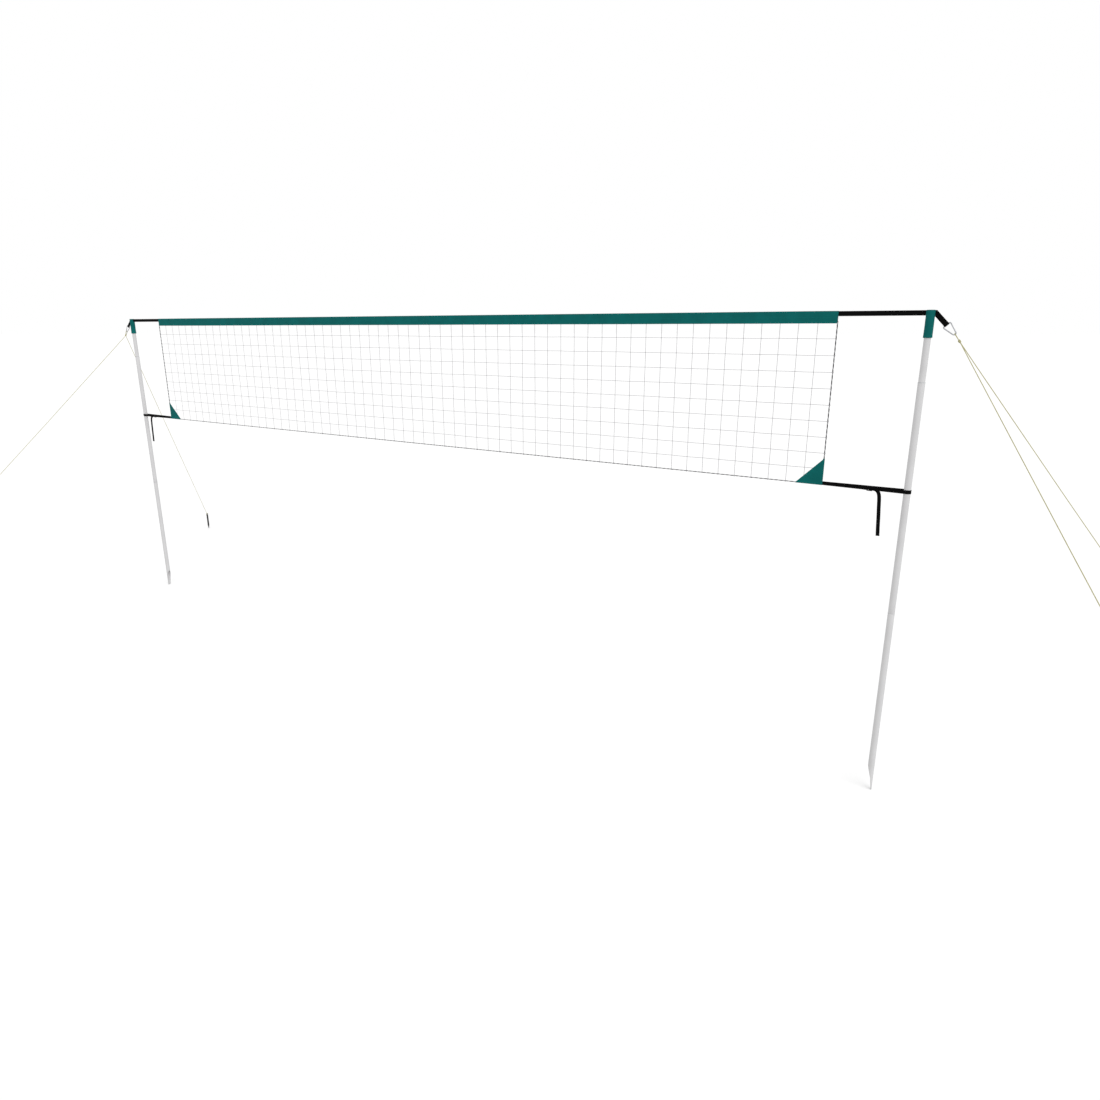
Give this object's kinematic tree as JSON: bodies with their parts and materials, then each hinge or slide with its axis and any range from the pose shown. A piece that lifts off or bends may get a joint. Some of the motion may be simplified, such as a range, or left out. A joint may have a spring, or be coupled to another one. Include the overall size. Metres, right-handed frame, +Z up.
{
  "type": "volleyball net on poles",
  "caption": "Volleyball net with green top band and webbing straps, held between telescopic twist-lock poles by guy ropes, carabiners and ground pegs.",
  "frame": {"origin": "midway between the two poles, under the net's middle, at the level of the tips of the poles and pegs; the ground line is 0.205 m above it", "axes": "+X along the net, +Y across it towards the far pegs, +Z up"},
  "size_m": [10.3954, 3.3262, 2.643],
  "materials": {
    "pole_paint": "smooth pale grey paint",
    "grey_plastic": "moulded, matte",
    "black_plastic": "moulded, matte",
    "plain_steel": "drawn tube, plain",
    "bright_steel": "zinc plated",
    "green_fabric": "coated woven tape",
    "black_webbing": "woven webbing",
    "net_cord": "twisted cord",
    "border_cord": "braided cord, dark with light flecks",
    "guy_rope": "braided rope",
    "peg_plastic": "moulded, matte"
  },
  "bodies": {
    "ground_set": {"left_foot_tube": "pole_paint", "left_ferrule": "plain_steel", "left_middle_tube": "pole_paint", "left_guide_ring": "grey_plastic", "right_foot_tube": "pole_paint", "right_ferrule": "plain_steel", "right_middle_tube": "pole_paint", "right_guide_ring": "grey_plastic", "left_near_peg": "peg_plastic", "left_near_peg_knot": "guy_rope", "left_near_rope": "guy_rope", "left_far_peg": "peg_plastic", "left_far_peg_knot": "guy_rope", "left_far_rope": "guy_rope", "right_near_peg": "peg_plastic", "right_near_peg_knot": "guy_rope", "right_near_rope": "guy_rope", "right_far_peg": "peg_plastic", "right_far_peg_knot": "guy_rope", "right_far_rope": "guy_rope"},
    "net_set": {"net_mesh": "net_cord", "top_band": "green_fabric", "top_strap": "black_webbing", "bottom_cord": "border_cord", "left_side_cord": "border_cord", "left_corner_patch": "green_fabric", "left_pole_sleeve": "green_fabric", "left_strap_loop": "black_webbing", "left_anchor_strap": "black_webbing", "left_ladder_buckle": "black_plastic", "left_bottom_strap": "black_webbing", "left_strap_tail": "black_webbing", "left_carabiner": "bright_steel", "left_gate_pin": "bright_steel", "left_guy_knot": "guy_rope", "left_lock_collar": "grey_plastic", "right_side_cord": "border_cord", "right_corner_patch": "green_fabric", "right_pole_sleeve": "green_fabric", "right_strap_loop": "black_webbing", "right_anchor_strap": "black_webbing", "right_ladder_buckle": "black_plastic", "right_bottom_strap": "black_webbing", "right_strap_tail": "black_webbing", "right_carabiner": "bright_steel", "right_gate_pin": "bright_steel", "right_guy_knot": "guy_rope", "right_lock_collar": "grey_plastic"},
    "left_inner_post": {"left_inner_tube": "pole_paint", "left_post_cap": "grey_plastic", "left_lock_core": "black_plastic"},
    "right_inner_post": {"right_inner_tube": "pole_paint", "right_post_cap": "grey_plastic", "right_lock_core": "black_plastic"},
    "left_gate": {"left_carabiner_gate": "bright_steel"},
    "right_gate": {"right_carabiner_gate": "bright_steel"}
  },
  "joints": [
    {"name": "net_height", "type": "slide", "parent": "ground_set", "child": "net_set", "axis": [0, 0, 1], "range_m": [-0.19, 0], "deforming": ["left_near_rope", "left_far_rope", "right_near_rope", "right_far_rope"]},
    {"name": "left_twist_lock", "type": "hinge", "parent": "net_set", "child": "left_inner_post", "pos_m": [-3.43, 0, 1.98], "axis": [0, 0, -1], "range_deg": [0, 90]},
    {"name": "right_twist_lock", "type": "hinge", "parent": "net_set", "child": "right_inner_post", "pos_m": [3.43, 0, 1.98], "axis": [0, 0, 1], "range_deg": [0, 90]},
    {"name": "left_gate_hinge", "type": "hinge", "parent": "net_set", "child": "left_gate", "pos_m": [-3.52712, 0, 2.57619], "axis": [0, -1, 0], "range_deg": [0, 22], "stiffness_Nm_per_rad": 0.3, "springref_deg": -20.05},
    {"name": "right_gate_hinge", "type": "hinge", "parent": "net_set", "child": "right_gate", "pos_m": [3.52712, 0, 2.57619], "axis": [0, 1, 0], "range_deg": [0, 22], "stiffness_Nm_per_rad": 0.3, "springref_deg": -20.05}
  ]
}
